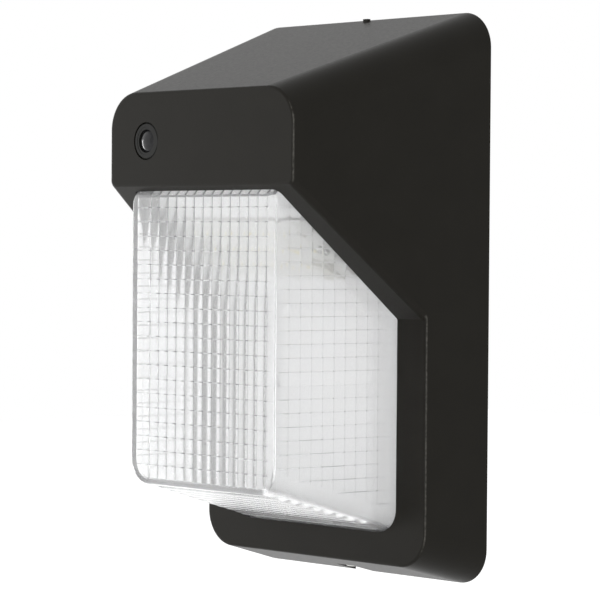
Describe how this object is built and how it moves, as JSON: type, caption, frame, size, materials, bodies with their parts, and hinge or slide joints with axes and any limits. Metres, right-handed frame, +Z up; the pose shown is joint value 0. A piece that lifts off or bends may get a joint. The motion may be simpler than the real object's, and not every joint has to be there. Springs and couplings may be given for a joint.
{
  "type": "wall pack light",
  "caption": "Outdoor wall light: tapered die-cast hood with a cut-away ribbed clear lens over an angled LED board, button photocell, hinged on a wall plate.",
  "frame": {"origin": "on the wall plane, at the centre of the four wall holes", "axes": "+Z up the light's long side, +Y into the wall, +X to the right as seen from the front"},
  "size_m": [0.147, 0.1004, 0.2405],
  "materials": {
    "bronze_coat": "fine-textured powder coat",
    "seal_foam": "closed-cell foam",
    "clear_lens": "clear, ribbed polycarbonate",
    "silicone": "matte",
    "white_sheet": "satin white",
    "aluminium_sheet": "mill finish",
    "zinc_screw": "bright zinc",
    "thermal_pad": "matte",
    "white_board": "white solder mask",
    "phosphor": "yellow phosphor",
    "white_plastic": "moulded",
    "zinc_case": "galvanised",
    "green_board": "solder mask",
    "black_plastic": "moulded",
    "smoked_dome": "polished smoked dome",
    "lead_insulation": "insulation",
    "galvanised_plate": "galvanised",
    "green_screw": "green dyed"
  },
  "bodies": {
    "wall_plate": {"back_plate": "galvanised_plate", "wall_gasket": "seal_foam", "cable_grommet": "silicone", "ground_screw": "green_screw"},
    "housing": {"housing_shell": "bronze_coat", "housing_seal": "seal_foam", "lens": "clear_lens", "lens_gasket": "silicone", "reflector": "white_sheet", "heat_spreader": "aluminium_sheet", "spreader_screws": "zinc_screw", "thermal_pad": "thermal_pad", "led_board": "white_board", "led_chips": "phosphor", "led_board_screws": "zinc_screw", "led_connector": "white_plastic", "driver_case": "zinc_case", "driver_cover": "zinc_case", "driver_board": "green_board", "driver_screws": "zinc_screw", "photocell_body": "black_plastic", "photocell_dome": "smoked_dome", "photocell_bezel": "black_plastic", "photocell_washer": "silicone", "terminal_block": "white_plastic", "terminal_screws": "zinc_screw", "line_leads": "lead_insulation", "led_leads": "lead_insulation", "photocell_leads": "lead_insulation"},
    "lock_screw": {"lock_screw": "zinc_screw", "lock_washer": "zinc_screw"}
  },
  "joints": [
    {"name": "housing_swing", "type": "hinge", "parent": "wall_plate", "child": "housing", "pos_m": [0, -0.009, 0.1125], "axis": [-1, 0, 0], "range_deg": [0, 30]},
    {"name": "lock_screw_slide", "type": "slide", "parent": "wall_plate", "child": "lock_screw", "axis": [0, 0, -1], "range_m": [0, 0.002]}
  ]
}
